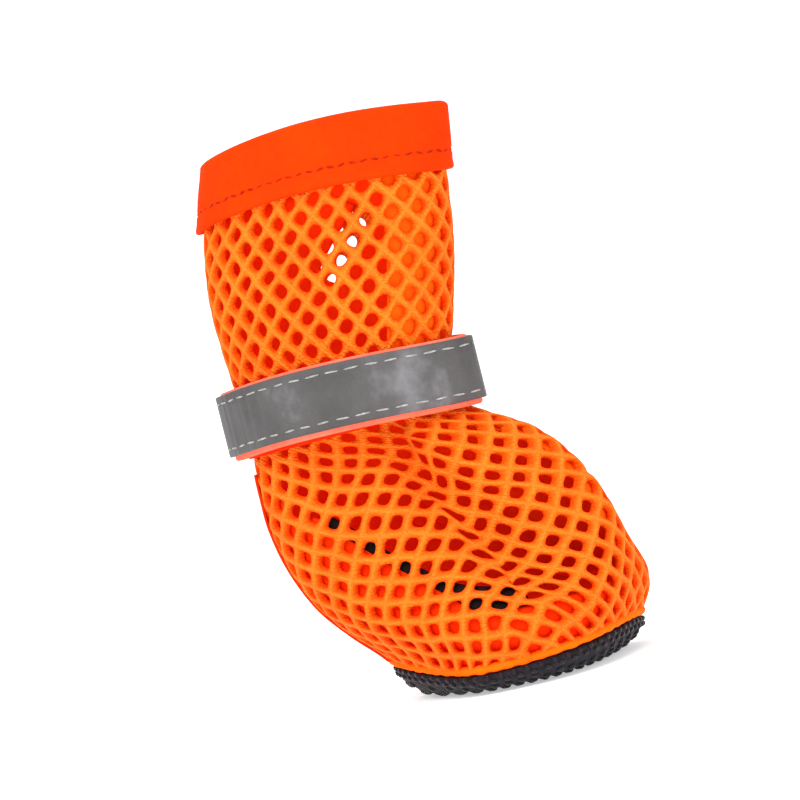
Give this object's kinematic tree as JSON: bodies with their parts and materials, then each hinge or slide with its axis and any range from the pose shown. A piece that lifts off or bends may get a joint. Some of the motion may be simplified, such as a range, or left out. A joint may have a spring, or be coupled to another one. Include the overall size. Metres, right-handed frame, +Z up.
{
  "type": "dog boot",
  "caption": "Small open-net dog boot: cupped sole of dotted fabric, tape-bound collar, and a hook-and-loop ankle strap faced with reflective tape.",
  "frame": {"origin": "on the floor under the middle of the sole's flat, on the boot's centre plane", "axes": "+X towards the toe, +Y towards the boot's left, +Z up through the collar"},
  "size_m": [0.0606, 0.0428, 0.0916],
  "materials": {
    "net": "fluorescent orange open net of thick knitted yarn, round holes about 2.2 mm across",
    "sole_fabric": "black coated fabric with small raised shiny dots in a hexagonal grid",
    "binding": "smooth red-orange woven tape with a zigzag stitch",
    "webbing": "salmon hook-and-loop tape, soft and matte",
    "reflective": "grey reflective tape, slightly crinkled, silvery patches, a dashed stitch line along each edge"
  },
  "bodies": {
    "root": {"upper": "net", "sole": "sole_fabric", "collar_band": "binding", "ankle_band": "binding", "heel_patch": "binding", "strap": "webbing", "reflective_tape": "reflective"}
  },
  "joints": []
}
